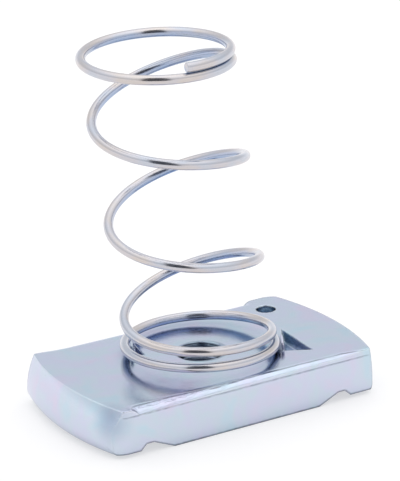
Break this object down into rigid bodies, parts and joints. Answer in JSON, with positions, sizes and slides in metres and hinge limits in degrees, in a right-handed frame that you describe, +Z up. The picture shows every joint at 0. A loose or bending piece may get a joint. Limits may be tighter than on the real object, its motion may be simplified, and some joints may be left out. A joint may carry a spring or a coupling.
{
  "type": "strut spring nut",
  "caption": "Steel nut plate with bowed ends, toothed grip grooves underneath, a threaded hole and a blind punched dimple in its top face, with an open coil spring staked on that face.",
  "frame": {"origin": "on the threaded hole's axis, in the plane of the underside's central land", "axes": "+X along the plate's long side, +Z up out of the top face, where the spring stands"},
  "size_m": [0.0364, 0.0216, 0.0438],
  "materials": {
    "plated_plate": "bright zinc plating with a faint blue and pink cast, smooth and glossy",
    "plated_wire": "bright zinc plated spring wire, glossy"
  },
  "bodies": {
    "root": {"nut_plate": "plated_plate", "spring": "plated_wire"}
  },
  "joints": []
}
